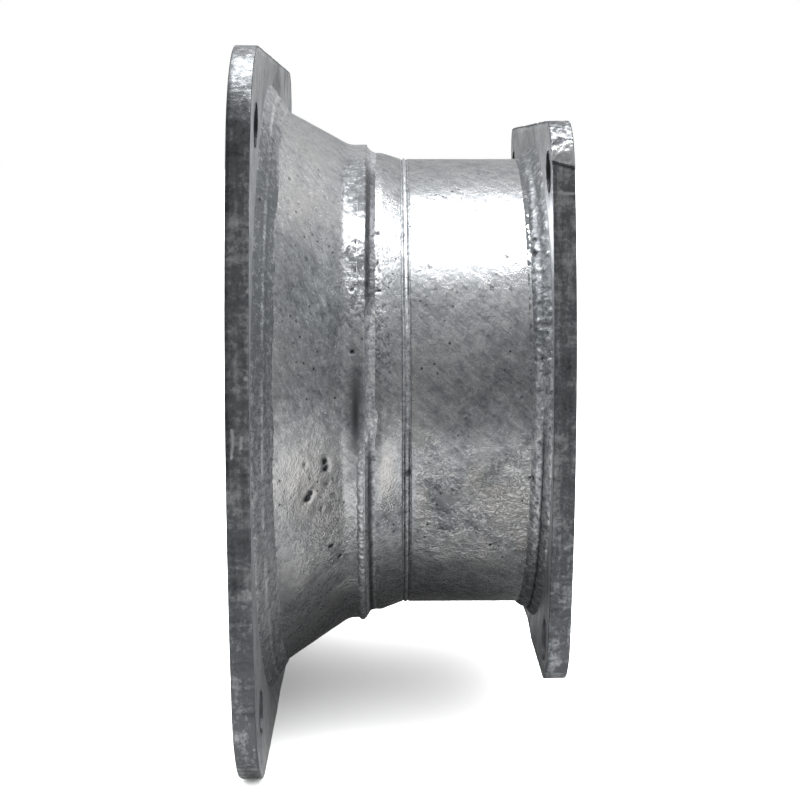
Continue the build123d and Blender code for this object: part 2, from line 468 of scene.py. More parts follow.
def pipe_relief(grid, degrees):
    x = grid[..., 0]
    outer = np.hypot(grid[..., 1] - PIPE_Y, grid[..., 2]) > SMALL_R - WALL / 2
    edge = 5.0 * clouds(grid, 12.0, 40)
    zone = smooth(-degrees + edge, 4, 15) * smooth(degrees - edge, -43, -33)
    patch = zone * smooth(x, neck_high[0], neck_high[0] + 6)
    flow = grid * np.array((0.6, 1, 1))
    folds = wrinkles(flow, 4.6, 44)
    blotch = clouds(flow, 11.0, 41)
    waves = 0.12 * noise(grid, 40.0, 42) + 0.05 * clouds(grid, 9.0, 43)
    thick = patch * smooth(blotch, -0.75, -0.05)
    lumps = 0.34 * thick * folds + 0.25 * patch * clouds(flow, 6.0, 45)
    speckled = smooth(degrees, 12, 24) * smooth(-degrees, -56, -46)
    speckled = speckled * np.maximum(smooth(x, 92, 78), 0.7 * smooth(-degrees, -36, -28))
    pits = spots(grid, PIPE_PITS, 1.0, -0.6)
    tone = sum(area(x, degrees, place) for place in PIPE_PATCHES)
    tone = tone + 0.3 * clouds(grid, 26.0, 46) + patch * (0.5 * folds - 0.1 + 2.3 * blotch)
    warm = patch * smooth(clouds(grid, 13.0, 47), -0.1, 0.4)
    pit = 0.45 * speckled * freckles(grid, 48) - pits
    masks = {"tone": tone, "warm": warm, "pit": pit, "dull": 0.15 * patch, "crumple": thick}
    return outside_only(outer, waves + lumps + pits, masks)


def make_pipe():
    stations = section(
        ((pipe_low[0], PIPE_Y, SMALL_R), SHELL_STEP),
        ((SMALL_PLATE_X, PIPE_Y, SMALL_R), HIDDEN_STEP),
        ((pipe_high[0], PIPE_Y, SMALL_R), WALL),
        ((pipe_high[0], PIPE_Y, SMALL_R - WALL), HIDDEN_STEP),
        ((pipe_low[0], PIPE_Y, SMALL_R - WALL), WALL),
    )
    return shell("outlet_pipe_shell", "outlet_pipe", stations, pipe_relief)


# ---------------- welds

# Faces of the beads: how far each point is from the bead's corner along X, and above the shell
LAP_FACE = [(-5.4, 3.3), (-4.0, 4.0), (-2.4, 4.1), (-1.2, 3.5),
            (-0.2, 2.2), (0.9, 1.0), (2.4, 0.4), (4.6, -0.5)]
LARGE_FACE = [(-0.5, 7.9), (0.6, 7.6), (2.0, 6.3), (3.4, 4.3),
              (4.6, 3.9), (6.2, 2.2), (7.6, 0.3), (8.6, -0.8)]
SMALL_FACE = [(-9.3, -0.7), (-7.8, 0.5), (-6.2, 2.0), (-4.8, 2.6),
              (-3.4, 3.4), (-2.0, 5.2), (-0.5, 6.6), (0.5, 7.2)]

# Dark marks on the large weld, as (x, y, z, radius), and pits in the small one, as (x, degrees, size)
LARGE_WELD_MARKS = [(14.0, -83.0, 115.0, 2.6), (13.0, -93.0, 107.0, 1.8), (12.0, -107.0, 93.0, 1.8)]
SMALL_WELD_PITS = [(130.6, 37.5, 1.2), (131.2, 41.5, 1.0), (128.6, -16.0, 1.0), (133.0, 12.0, 0.9)]


def weld_face(points):
    """A smooth curve near the few points of a bead's face, with about 14 rows to 3 points."""
    points = np.array(points, float)
    at = np.linspace(0, len(points) - 1, 14 * (len(points) - 1) // 3 + 1)
    rows = np.stack([np.interp(at, range(len(points)), column) for column in points.T], -1)
    for _ in range(3):
        rows[1:-1] = (rows[:-2] + 2 * rows[1:-1] + rows[2:]) / 4
    return rows


def ripples(turn, across, grid, pitch, seed):
    """Overlapping crescents along a bead, from 0 in their valleys to 1 on their crests."""
    count = round(2 * math.pi * SMALL_R / pitch)
    phase = count * turn[None, :] / (2 * math.pi) - 0.9 * (2 * across - 1) ** 2
    phase = phase + 0.8 * noise(grid, 9.0, seed)
    cell = np.floor(phase)
    each = dice(np.stack([cell, cell * 0, cell * 0], -1), seed + 5)
    return np.abs(np.sin(math.pi * phase)) * (0.35 + 0.65 * each)


def weld_ring(name, node, face, root, relief):
    """A closed bead round the object: its face, and a root row hidden below it."""
    rows = weld_face(face)
    stations = np.vstack([rows, [root]])
    grid, turn = ring(stations, WELD_STEP)
    across = np.append(np.linspace(0, 1, len(rows)), 0.5)[:, None]
    proud, masks = relief(grid, turn, across)
    hidden = np.append(np.ones(len(rows)), 0)[:, None]
    grid = neck_drift(grid + outward(grid) * (proud * hidden)[..., None])
    piece = grid_piece(name, grid, masks)
    dress(piece, node, "galvanised_weld")
    return piece


def lap_relief(grid, turn, across):
    degrees = signed(turn)[None, :]
    crest = ripples(turn, across, grid, 2.9, 51)
    lower = smooth(-degrees, 2, 12)
    ridge = peak(across - 0.22, 0.16)
    valley = peak(across - 0.74, 0.12)
    grit = clouds(grid, 2.0, 52, 2)
    proud = lower * (0.5 * ridge - 0.4 * valley) + crest * ridge * (0.1 + 0.4 * lower)
    buried = (1 - lower) * smooth(across, 0.45, 0.3)
    proud = proud + 0.12 * clouds(grid, 3.0, 53) + 0.3 * lower * grit * ridge - 0.9 * buried
    blob = near(grid, 60.0, -93.5, -2.5, 5.0) + 0.7 * near(grid, 57.5, -95.0, -9.0, 5.0)
    proud = proud + blob * (1.1 + 0.9 * noise(grid, 1.8, 54))
    # Painted shade: the bead's upper slope, which faces along the axis, and its lower valley are darkened.
    # Painted highlight: the crests of the lower ridge are lighter. The blob is lighter zinc.
    slope = smooth(across, 0.36, 0.46) * smooth(degrees, 16, 28) * smooth(-degrees, -80, -60)
    painted_shade_and_marks = np.maximum(0.9 * slope, valley * lower) * (1 - np.minimum(blob, 1))
    tone = 0.5 * grit + 1.1 * lower * crest * ridge + 0.8 * np.minimum(blob, 1)
    return proud, {"tone": tone, "painted_shade_and_marks": painted_shade_and_marks}


def make_lap_weld():
    x, r = cone_high[0], SPIGOT_R
    face = [(x + dx, COLLAR_Y, r + lift) for dx, lift in LAP_FACE]
    root = (x + 0.5, COLLAR_Y, r - 1.5)
    return weld_ring("lap_weld_bead", "lap_weld", face, root, lap_relief)


def large_weld_relief(grid, turn, across):
    degrees = signed(turn)[None, :]
    crest = ripples(turn, across, grid, 3.1, 61)
    twin = np.abs(np.sin(2 * math.pi * across))
    grit = clouds(grid, 2.4, 62, 2)
    line = peak(across - 0.47, 0.05) * smooth(noise(grid * np.array((1, 1, 0.3)), 4.0, 64), -0.5, 0.2)
    toe = peak(across - 0.88, 0.06) * smooth(noise(grid, 9.0, 65), -0.2, 0.4)
    proud = 0.12 * crest * twin + 0.16 * grit + 0.3 * noise(grid, 16.0, 63) + 0.3 * line
    # Painted shade: the bead is darker over its upper part and below 32 degrees down, and in the valley
    # between its two ridges. Painted highlight on its ripple crests. The listed marks are dark spots.
    shade = 1.5 * smooth(degrees, -30, 25) * smooth(-degrees, -75, -45) + 1.1 * smooth(-degrees, 32, 50)
    tone = 0.5 * grit + 1.3 * line + 1.2 * toe - shade + 0.3 * crest * twin
    marks = sum(1.2 * near(grid, *place) for place in LARGE_WELD_MARKS)
    painted_shade_and_marks = 0.4 * peak(across - 0.6, 0.07) + marks
    return proud, {"tone": tone, "painted_shade_and_marks": painted_shade_and_marks}


def make_large_back_weld():
    face = [on_cone(PLATE + dx, lift) for dx, lift in LARGE_FACE]
    root = on_cone(PLATE + 0.5, 0.5)
    return weld_ring("large_flange_back_bead", "large_flange_back_weld", face, root, large_weld_relief)


def small_weld_relief(grid, turn, across):
    degrees = signed(turn)[None, :]
    crest = ripples(turn, across, grid, 3.0, 71)
    twin = np.abs(np.sin(2 * math.pi * np.clip(across, 0, 1)))
    wide = smooth(-degrees, -6, 10)
    valley = peak(across - 0.55, 0.07)
    grit = clouds(grid, 2.2, 72, 2)
    proud = 0.16 * crest * twin + 0.26 * grit - 0.6 * valley * wide
    toe = smooth(across, 0.35, 0.0)
    proud = proud - 0.9 * toe * (1 - wide) + 0.3 * noise(grid, 14.0, 73)
    # Painted shade: the bead is darker above 5 degrees up and below 30 degrees down, and in its valley.
    # Painted highlight on its ripple crests. The pits are real.
    shade = 1.5 * smooth(degrees, 5, 20) + 0.9 * smooth(-degrees, 30, 45)
    tone = 0.9 * grit + 0.5 * crest * twin - shade
    pits = spots(grid, SMALL_WELD_PITS, 1.1, -0.7)
    painted_shade_and_marks = np.maximum(0.9 * valley * wide, np.minimum(-2 * pits, 1))
    return proud + pits, {"tone": tone, "painted_shade_and_marks": painted_shade_and_marks}


def make_small_back_weld():
    x, r = SMALL_PLATE_X, SMALL_R
    face = [(x + dx, PIPE_Y, r + lift) for dx, lift in SMALL_FACE]
    root = (x - 0.5, PIPE_Y, r - 1.0)
    return weld_ring("small_flange_back_bead", "small_flange_back_weld", face, root, small_weld_relief)


def neck_relief(grid, turn, across):
    degrees = signed(turn)[None, :]
    groove = peak(np.abs(across - 0.5) - 0.31, 0.09)
    filled = smooth(degrees, -12, 2) * smooth(-degrees, -30, -16)
    worn = 0.5 + 0.5 * noise(grid, 7.0, 84)
    ridge = peak(across - 0.5, 0.14)
    depth = 0.62 * (1 - 0.65 * filled) * (0.75 + 0.25 * worn)
    grit = noise(grid, 2.2, 83)
    blot = near(grid, 74.4, -82.9, -28.0, 3.0)
    proud = ridge * (0.22 + 0.2 * grit) - groove * depth
    # Painted shade in the grooves beside the bead, less where they are filled. The blot is a dark mark.
    painted_shade_and_marks = groove * (0.95 - 0.6 * filled) * (0.7 + 0.3 * worn)
    return proud, {"tone": 0.9 * grit * ridge, "painted_shade_and_marks": np.maximum(painted_shade_and_marks, np.minimum(1.3 * blot, 1))}


def make_neck_weld():
    low, high, r = neck_low[0], neck_high[0], SMALL_R
    face = [(low + (high - low) * t, PIPE_Y, r) for t in np.linspace(0, 1, 8)]
    root = (NECK_X, PIPE_Y, r - WALL)
    return weld_ring("neck_weld_bead", "neck_weld", face, root, neck_relief)


def seal_relief(grid, turn, across):
    crest = ripples(turn, across, grid, 3.0, 91)
    middle = np.sin(math.pi * across)
    proud = middle * (0.22 * crest + 0.12 * clouds(grid, 4.0, 92))
    # Painted highlight: the ripple crests are lighter.
    return proud, {"tone": 0.5 * crest * middle, "painted_shade_and_marks": np.zeros(grid.shape[:2])}


def make_seal_weld(name, node, centre_y, bore_r, inner_x, outer_x):
    """Seal weld in the bore of a flange, between the shell's end and the plate's face."""
    face = [
        (inner_x, centre_y, bore_r - WALL + SEAL_MARGIN),
        (inner_x + 0.45 * (outer_x - inner_x), centre_y, bore_r - 0.55 * WALL),
        (outer_x, centre_y, bore_r - 0.2),
    ]
    if outer_x < inner_x:
        face = face[::-1]
    root = (inner_x, centre_y, bore_r)
    return weld_ring(name, node, face, root, seal_relief)


def seam_grid():
    """Points along and round the seam's bead, and the ripples on it from 0 to 1."""
    low_x, high_x = seam_low[0], seam_high[0]
    along = np.linspace(low_x, high_x, SEAM_ROWS)[:, None]
    angle = np.linspace(0, 2 * math.pi, SEAM_COLUMNS, endpoint=False)[None, :]
    from_middle = (along - (low_x + high_x) / 2) / ((high_x - low_x) / 2)
    taper = np.sqrt(np.clip(1 - from_middle**8, 0.02, 1))
    phase = np.abs(np.sin(math.pi * (along / 2.6 - 0.7 * np.cos(angle) ** 2)))
    lift = np.sin(angle) * SEAM_HEIGHT * taper * (0.8 + 0.2 * phase)
    wide = np.cos(angle) * SEAM_HALF * taper
    far_y = LARGE_R + np.where(lift < 0, lift * 0.5, lift) - wide**2 / (2 * LARGE_R)
    grid = np.stack([along + 0 * wide, far_y, wide], -1)
    grid[..., 1] += 0.12 * clouds(grid, 3.0, 95) * (lift > 0)
    return grid, phase


def make_seam_weld():
    """Straight bead along the far side of the large cone, closed at both ends."""
    grid, phase = seam_grid()
    faces = [f for f in grid_faces(SEAM_ROWS, SEAM_COLUMNS).tolist() if max(f) - min(f) < SEAM_COLUMNS * 2]
    faces.append(list(range(SEAM_COLUMNS)))
    faces.append(list(range((SEAM_ROWS - 1) * SEAM_COLUMNS, SEAM_ROWS * SEAM_COLUMNS))[::-1])
    # Painted highlight: the ripple crests are lighter.
    masks = {"tone": 0.5 * phase.ravel(), "painted_shade_and_marks": np.zeros(phase.size)}
    piece = make_mesh("cone_seam_bead", grid.reshape(-1, 3), faces, masks)
    dress(piece, "cone_seam_weld", "galvanised_weld")
    return piece


# ---------------- flanges

# How far the edges of the rim, the bore and the bolt holes are rounded, and how far the faces are sunk
RIM_EDGE = 0.9
BORE_EDGE = 0.3
HOLE_EDGE = 0.12
FACE_SINK = 0.3

# How much painted shade darkens the zinc inside the openings, and how much the bore looks like a cut edge
HOLE_SHADE = 4.0
BORE_CUT = 0.4

# Marks on the near rims, as (x, z) places and paths
LARGE_RUNS = [[(3.0, 2.4), (3.3, -2.6), (2.9, -9.0)], [(6.9, -0.4), (6.6, -5.2)]]
LARGE_DOTS = [(9.6, 58.0), (8.6, 23.0)]
LARGE_CRACK = [(9.6, -104.0), (9.3, -122.0), (9.7, -140.0)]
LARGE_NOTCH = [(8.4, -114.5), (10.0, -114.0)]
SMALL_SCRATCH = [(140.2, 95.8), (142.4, 95.2), (146.0, 95.4)]

# The thick zinc at the top of the small rim ends at a slanting line at this height
THICK_END = 109.0


class Flange(NamedTuple):
    """A square flange. Its outline is lifted above its bore and holes, its cut edges turn lighter towards the
    bottom from a share of half below its middle, and its top and bottom edges are pulled along X by its weld."""

    plate_x: float
    centre_y: float
    half: float
    corner: float
    lift: float
    spacing: float
    bore: float
    low_rim_start: float
    pull: float
    seed: int


LARGE_FLANGE = Flange(plate_x=0.0, centre_y=0.0, half=LARGE_HALF, corner=LARGE_CORNER, lift=LARGE_LIFT,
                      spacing=LARGE_HOLE_SPACING, bore=LARGE_R, low_rim_start=0.35, pull=2.6, seed=101)
SMALL_FLANGE = Flange(plate_x=SMALL_PLATE_X, centre_y=PIPE_Y, half=SMALL_HALF, corner=SMALL_CORNER,
                      lift=SMALL_LIFT, spacing=SMALL_HOLE_SPACING, bore=SMALL_R, low_rim_start=-0.1, pull=-2.6,
                      seed=131)


def rounded_square(half, corner):
    """Points round a square with round corners, as complex y + iz, and which way is out at each."""
    flat = half - corner
    side = np.linspace(-flat, flat, round(2 * flat / RIM_STEP), endpoint=False)
    bend = round(math.pi / 2 * corner / RIM_STEP)
    arc = np.linspace(math.pi, math.pi / 2, bend, endpoint=False)
    points = np.concatenate([-half + 1j * side, -flat + 1j * flat + corner * np.exp(1j * arc)])
    ways = np.concatenate([np.full(len(side), -1.0 + 0j), np.exp(1j * arc)])
    spins = [(-1j) ** quarter for quarter in range(4)]
    return np.concatenate([points * s for s in spins]), np.concatenate([ways * s for s in spins])


def round_hole(centre, radius, step):
    """Points round a hole, and which way is out of the plate at each, which is into the hole."""
    angle = np.linspace(0, 2 * math.pi, round(2 * math.pi * radius / step), endpoint=False)
    return centre + radius * np.exp(1j * angle), -np.exp(1j * angle)


def plate_loops(flange):
    """The outline, the bore and the bolt holes, each as (points, ways out, rounding of its edges)."""
    outline, ways = rounded_square(flange.half, flange.corner)
    loops = [(outline + 1j * flange.lift, ways, RIM_EDGE)]
    loops.append((*round_hole(0, flange.bore, BORE_STEP), BORE_EDGE))
    for y, z in itertools.product((-1, 1), repeat=2):
        centre = complex(y, z) * flange.spacing / 2
        loops.append((*round_hole(centre, HOLE_R, HOLE_STEP), HOLE_EDGE))
    return loops


def edge_section(thickness, edge):
    """(x, inset) rows across a plate's edge between its two faces, with both its corners rounded."""
    bends = (math.pi / 6, math.pi / 3)
    start = [(edge * (1 - math.cos(a)), edge * (1 - math.sin(a))) for a in bends]
    middle = [(x, 0.0) for x in np.linspace(edge, thickness - edge, RIM_ROWS)]
    return np.array(start + middle + [(thickness - x, inset) for x, inset in start[::-1]])


def large_rim_marks(x, z):
    """How bright, dark, raised and notched the large flange's near rim is."""
    raised = sum(peak(away_from(x, z, path), 0.33) for path in LARGE_RUNS)
    dots = sum(peak(np.hypot(x - a, z - b), 0.6) for a, b in LARGE_DOTS)
    crack = peak(away_from(x, z, LARGE_CRACK), 0.35)
    notch = peak(away_from(x, z, LARGE_NOTCH), 0.9)
    front = smooth(x, 1.9, 1.2) * smooth(z, -30, -10)
    return raised + dots, crack + 2 * notch + 0.5 * front, raised, notch


def cut_edge(points, near_side, flange):
    """How far the zinc on the cut edge stands back from the nominal outline, never past it, and its tone."""
    seed = flange.seed + 3
    x, z = points[..., 0] + flange.plate_x, points[..., 2]
    rough = 0.5 + 0.5 * np.clip(clouds(points, 7.0, seed) / 1.2, -1, 1)
    drag = noise(points * np.array((0.12, 1, 1)), 1.6, seed + 7)
    waves = wrinkles(points * np.array((0.8, 1, 1)), 5.5, seed + 21)
    if flange is LARGE_FLANGE:
        bright, dark, raised, notch = large_rim_marks(x, z)
        crumple = folds = 0.0
    else:
        slant = z + 0.3 * (x - flange.plate_x)
        bright = 0.8 * peak(away_from(x, z, SMALL_SCRATCH), 0.4)
        dark = 1.5 * peak(slant - (THICK_END - 0.3), 0.6)
        raised = notch = 0.0
        crumple = smooth(slant, THICK_END, THICK_END + 1.5)
        folds = crumple * waves + 0.45 * smooth(-z, 0.0, 60.0) * waves
    sunk = 0.15 + 0.3 * rough + 0.1 * drag + 0.25 * crumple
    sunk = sunk - near_side * (0.35 * raised - 0.6 * notch) - 0.4 * folds
    tone = 0.4 * clouds(points, 12.0, seed + 11) + 0.35 * drag + near_side * (3.6 * bright - 1.6 * dark)
    # On the small rim's thick zinc the tone is painted darker over the top corner, as painted shade dimming
    # the lamp's highlight, and painted lighter below a height of 113 to 119, where the rim turns away from
    # the lamp.
    tone = tone + crumple * (0.4 * waves - 0.9 + 1.8 * smooth(-z, -119.0, -113.0)) + 1.1 * folds
    return np.clip(sunk, 0.02, None), tone


def edge_wall(flange, loop, is_rim):
    """Grid of points across the plate's thickness and along a loop, and their tone."""
    outline, ways, edge = loop
    rows = edge_section(PLATE, edge)
    x, inset = rows[:, :1], rows[:, 1:]
    grid = np.stack([x + 0 * outline.real, outline.real + 0 * x, outline.imag + 0 * x], -1)
    near_side = is_rim * smooth(-ways.real, 0.3, 0.7)
    sunk, tone = cut_edge(grid, near_side, flange)
    depth = inset + (sunk if is_rim else 0.3 * sunk)
    grid[..., 1] -= ways.real * depth
    grid[..., 2] -= ways.imag * depth
    return grid, tone if is_rim else tone - HOLE_SHADE


def inner_points(flange):
    """Points over a plate's face, clear of its outline, bore and holes."""
    line = np.arange(-flange.half, flange.half, FACE_STEP)
    y, z = np.meshgrid(line, line)
    cells = np.stack([y, z, 0 * y], -1)
    y = y + FACE_STEP * 0.6 * (dice(cells, flange.seed) - 0.5)
    z = z + FACE_STEP * 0.6 * (dice(cells, flange.seed + 1) - 0.5)
    margin = 2.0
    flat = flange.half - flange.corner
    over = np.hypot(np.maximum(np.abs(y) - flat, 0), np.maximum(np.abs(z) - flat, 0))
    inside = over < flange.corner - margin
    z = z + flange.lift
    clear = np.hypot(y, z) > flange.bore + margin
    half_spacing = flange.spacing / 2
    from_hole = np.hypot(np.abs(y) - half_spacing, np.abs(z) - half_spacing) > HOLE_R + margin
    keep = inside & clear & from_hole
    return y[keep] + 1j * z[keep]


def in_opening(point, flange):
    """Whether a point (y, z) of a plate's face is in its bore or in a bolt hole."""
    y, z = point
    hole = math.hypot(abs(y) - flange.spacing / 2, abs(z) - flange.spacing / 2)
    return math.hypot(y, z) < flange.bore + BORE_EDGE + 0.1 or hole < HOLE_R + 0.2


def flat_face(flange, loops):
    """Points (y, z) over a plate's face, its triangles, and the points' numbers along each loop."""
    edges = np.concatenate([points - ways * edge for points, ways, edge in loops])
    starts = np.cumsum([0] + [len(points) for points, _, _ in loops])
    spans = list(zip(starts, starts[1:]))
    ties = [(a + k, a + (k + 1) % (b - a)) for a, b in spans for k in range(b - a)]
    cloud = [Vector((p.real, p.imag)) for p in np.concatenate([edges, inner_points(flange)])]
    found, _, triangles, sources, _, _ = geometry.delaunay_2d_cdt(cloud, ties, [], 2, 1e-4)
    place = np.array([v[:] for v in found])
    triangles = [tri for tri in triangles if not in_opening(place[tri].mean(0), flange)]
    where = {source: k for k, group in enumerate(sources) for source in group}
    return place, triangles, [np.array([where[k] for k in range(a, b)]) for a, b in spans]


def zinc_face(flange, place, x, inward):
    """One face of the plate at x, sunk inward a little under wavy zinc."""
    side = np.column_stack([np.full(len(place), x), place])
    swell = 0.08 * clouds(side, 18.0, flange.seed + 1) + 0.05 * clouds(side, 6.0, flange.seed + 2)
    side[:, 0] += inward * (FACE_SINK + swell)
    return side


def strip_faces(rows):
    """Four-sided faces between rows of point numbers that close on themselves."""
    right = np.roll(rows, -1, 1)
    return np.stack([rows[:-1], rows[1:], right[1:], right[:-1]], -1).reshape(-1, 4).tolist()


def bow(points, flange):
    """The welds have pulled the top and bottom edges of the plate a little towards them."""
    beyond = smooth(np.hypot(points[:, 1], points[:, 2]) - flange.bore, 2.0, 20.0)
    points[:, 0] += flange.pull * beyond * (points[:, 2] / flange.half) ** 2


def square_flange(name, node, flange):
    """A square plate with a bore and four bolt holes, cut edges and zinc on its faces."""
    loops = plate_loops(flange)
    place, triangles, borders = flat_face(flange, loops)
    count = len(place)
    sides = np.concatenate([zinc_face(flange, place, 0.0, 1), zinc_face(flange, place, PLATE, -1)])
    faces = triangles + [[count + k for k in tri[::-1]] for tri in triangles]
    points, tones, cuts = [sides], [0.8 * clouds(sides, 26.0, flange.seed + 5)], [np.zeros(2 * count)]
    total = 2 * count
    for number, (loop, border) in enumerate(zip(loops, borders)):
        grid, tone = edge_wall(flange, loop, number == 0)
        wall = total + np.arange(tone.size).reshape(tone.shape)
        faces += strip_faces(np.vstack([border, wall, border + count]))
        points.append(grid.reshape(-1, 3))
        tones.append(tone.ravel())
        cuts.append(np.full(tone.size, BORE_CUT if number == 1 else 1.0))
        total += tone.size
    points = np.concatenate(points)
    low = smooth(-points[:, 2], flange.low_rim_start * flange.half, 0.75 * flange.half)
    bow(points, flange)
    points += np.array((flange.plate_x, flange.centre_y, 0.0))
    masks = {"cut": np.concatenate(cuts), "low": low, "tone": np.concatenate(tones)}
    piece = make_mesh(name, points, faces, masks)
    dress(piece, node, "galvanised_plate")
    return piece


# ---------------- materials


def new_node(tree, kind, settings=(), **inputs):
    """A shader node. Inputs are plain values or other nodes' outputs, by socket name, or i0, i1, ..."""
    made = tree.nodes.new("ShaderNode" + kind)
    for key, value in settings:
        setattr(made, key, value)
    for key, value in inputs.items():
        socket = made.inputs[int(key[1:])] if key[1:].isdigit() else made.inputs[key.replace("_", " ")]
        if isinstance(value, bpy.types.NodeSocket):
            tree.links.new(value, socket)
        else:
            socket.default_value = value
    return made


def grains(tree, at, size, detail=4.0, rough=0.6, distortion=0.0):
    """Noise from 0 to 1 with features about size millimetres across."""
    return new_node(tree, "TexNoise", Vector=at, Scale=METRE / size, Detail=detail,
                    Roughness=rough, Distortion=distortion).outputs["Fac"]


def specks(tree, at, size, reach):
    """1 at small round specks, one in each cell of about size millimetres, and 0 between them."""
    made = new_node(tree, "TexVoronoi", Vector=at, Scale=METRE / size, Randomness=1.0)
    return remap(tree, made.outputs["Distance"], reach, reach * 0.45, 0.0, 1.0)


def remap(tree, value, low, high, to_low, to_high):
    """Value moved from the range low to high into the range to_low to to_high, and held there."""
    return new_node(tree, "MapRange", i0=value, i1=low, i2=high, i3=to_low, i4=to_high).outputs[0]


def calc(tree, what, a, b=0.0):
    return new_node(tree, "Math", (("operation", what),), i0=a, i1=b).outputs[0]


def blend_colour(tree, share, a, b):
    """Colour a where share is 0 and b where it is 1, each three numbers or another node's output."""
    a, b = ((*colour, 1.0) if isinstance(colour, tuple) else colour for colour in (a, b))
    return new_node(tree, "Mix", (("data_type", "RGBA"),), i0=share, i6=a, i7=b).outputs[2]


def mask(tree, name):
    """The number that make_mesh stored at the points under this name."""
    return new_node(tree, "Attribute", (("attribute_name", name),)).outputs["Fac"]


def bump(tree, height, strength, distance, below=None):
    """Normal bent by a height, with distance in millimetres, on top of another normal."""
    inputs = {"Height": height, "Strength": strength, "Distance": distance / METRE}
    if below is not None:
        inputs["Normal"] = below
    return new_node(tree, "Bump", **inputs).outputs["Normal"]


def start_material(name):
    """A metal material, its tree and shader, and the places on the object that its noise is made at."""
    material = bpy.data.materials.new(name)
    material.use_nodes = True
    tree = material.node_tree
    shader = tree.nodes["Principled BSDF"]
    shader.inputs["Metallic"].default_value = 1.0
    at = new_node(tree, "TexCoord").outputs["Object"]
    return material, tree, shader, at


def finish_material(tree, shader, colour, roughness, normal):
    tree.links.new(colour, shader.inputs["Base Color"])
    tree.links.new(roughness, shader.inputs["Roughness"])
    tree.links.new(normal, shader.inputs["Normal"])


# Colours of zinc from dull to bright, where it is warm, of its bare spots, which on the welds also give
# painted shade, and of painted shade and dull zinc on the shells
DULL_ZINC = (0.17, 0.18, 0.19)
MID_ZINC = (0.40, 0.415, 0.43)
BRIGHT_ZINC = (0.68, 0.685, 0.685)
WARM_ZINC = (0.58, 0.555, 0.535)
BARE_SPOT_AND_SHADE = (0.04, 0.042, 0.046)
PAINTED_SHADE_AND_DULL_ZINC = (0.10, 0.105, 0.11)

# Colours of zinc on the plates' edges, and the darkest of the lighter colours that the edges take towards the
# bottom
LOW_RIM_DARK = (0.12, 0.126, 0.133)
CUT_DARK = (0.055, 0.058, 0.062)
CUT_MID = (0.15, 0.157, 0.165)
CUT_LIGHT = (0.50, 0.51, 0.52)


def added(tree, *shares):
    """Sum of (output, weight) pairs."""
    total = 0.0
    for output, weight in shares:
        total = calc(tree, "ADD", total, calc(tree, "MULTIPLY", output, weight))
    return total


def folded(tree, at):
    """Thin winding folds in thick zinc, longer along X: 1 on a fold and 0 between."""
    along = new_node(tree, "VectorMath", (("operation", "MULTIPLY"),), i0=at, i1=(0.55, 1.0, 1.0)).outputs[0]
    wide = calc(tree, "ABSOLUTE", calc(tree, "SUBTRACT", grains(tree, along, 4.6, 2.0, 0.5, 1.4), 0.5))
    thin = calc(tree, "ABSOLUTE", calc(tree, "SUBTRACT", grains(tree, along, 2.4, 2.0, 0.5, 1.0), 0.5))
    wide = remap(tree, wide, 0.0, 0.055, 1.0, 0.0)
    thin = remap(tree, thin, 0.0, 0.06, 0.75, 0.0)
    return calc(tree, "MAXIMUM", wide, thin)


def zinc_colour(tree, tone, dark=DULL_ZINC, mid=MID_ZINC, light=BRIGHT_ZINC):
    """Colour of zinc whose tone runs from about 0.25 where it's dull to 0.75 where it's bright."""
    colour = blend_colour(tree, remap(tree, tone, 0.30, 0.50, 0.0, 1.0), dark, mid)
    return blend_colour(tree, remap(tree, tone, 0.50, 0.72, 0.0, 1.0), colour, light)


